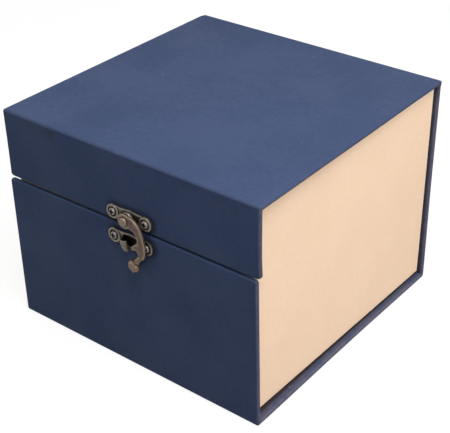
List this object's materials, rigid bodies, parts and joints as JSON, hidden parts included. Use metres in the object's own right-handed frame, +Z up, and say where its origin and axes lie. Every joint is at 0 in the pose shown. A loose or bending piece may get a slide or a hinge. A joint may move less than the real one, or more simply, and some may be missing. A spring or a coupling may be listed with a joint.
{
  "type": "doll head storage box",
  "caption": "Paper-covered rigid keepsake box with a lid hinged at the back, a front flap hung from the lid, a tan inner tray, a round sponge nest and a small swinging hook latch.",
  "frame": {"origin": "centre of the underside, on the surface that the box stands on", "axes": "+Z up, -Y out of the front face with the latch, +X to the right of someone who looks at the front"},
  "size_m": [0.1608, 0.1681, 0.124],
  "materials": {
    "cover_paper": "matte, dark slate blue, finely grained",
    "tray_paper": "matte, pale tan",
    "greyboard": "matte, grey pressed board",
    "sponge": "matte, open-cell foam, off-white",
    "bronze": "satin, antique bronze plating, worn brighter on the high places"
  },
  "bodies": {
    "root": {"base_board": "greyboard", "base_cover_paper": "cover_paper", "back_board": "greyboard", "back_cover_paper": "cover_paper", "front_board": "greyboard", "front_cover_paper": "cover_paper", "lid_hinge_paper": "cover_paper", "tray_left_board": "greyboard", "tray_right_board": "greyboard", "tray_front_board": "greyboard", "tray_back_board": "greyboard", "tray_floor_board": "greyboard", "tray_wrap_paper": "tray_paper", "tray_lining_paper": "tray_paper", "nest_base_sponge": "sponge", "nest_ring_sponge": "sponge", "catch_plate": "bronze", "catch_plate_screw_left": "bronze", "catch_plate_screw_right": "bronze"},
    "lid": {"lid_board": "greyboard", "lid_cover_paper": "cover_paper", "lid_lining_paper": "tray_paper", "lid_sponge": "sponge", "flap_hinge_paper": "cover_paper"},
    "flap": {"flap_board": "greyboard", "flap_cover_paper": "cover_paper", "flap_lining_paper": "tray_paper", "hook_plate": "bronze", "hook_rivet": "bronze", "hook_plate_screw_left": "bronze", "hook_plate_screw_right": "bronze"},
    "hook": {"hook": "bronze"}
  },
  "joints": [
    {"name": "lid_hinge", "type": "hinge", "parent": "root", "child": "lid", "pos_m": [0, 0.08075, 0.124], "axis": [-1, 0, 0], "range_deg": [0, 180], "deforming": ["lid_hinge_paper"]},
    {"name": "flap_hinge", "type": "hinge", "parent": "lid", "child": "flap", "pos_m": [0, -0.08075, 0.124], "axis": [-1, 0, 0], "range_deg": [0, 110], "deforming": ["flap_hinge_paper"]},
    {"name": "hook_pivot", "type": "hinge", "parent": "flap", "child": "hook", "pos_m": [0.0034, -0.084, 0.0904], "axis": [0, -1, 0], "range_deg": [0, 180]}
  ]
}
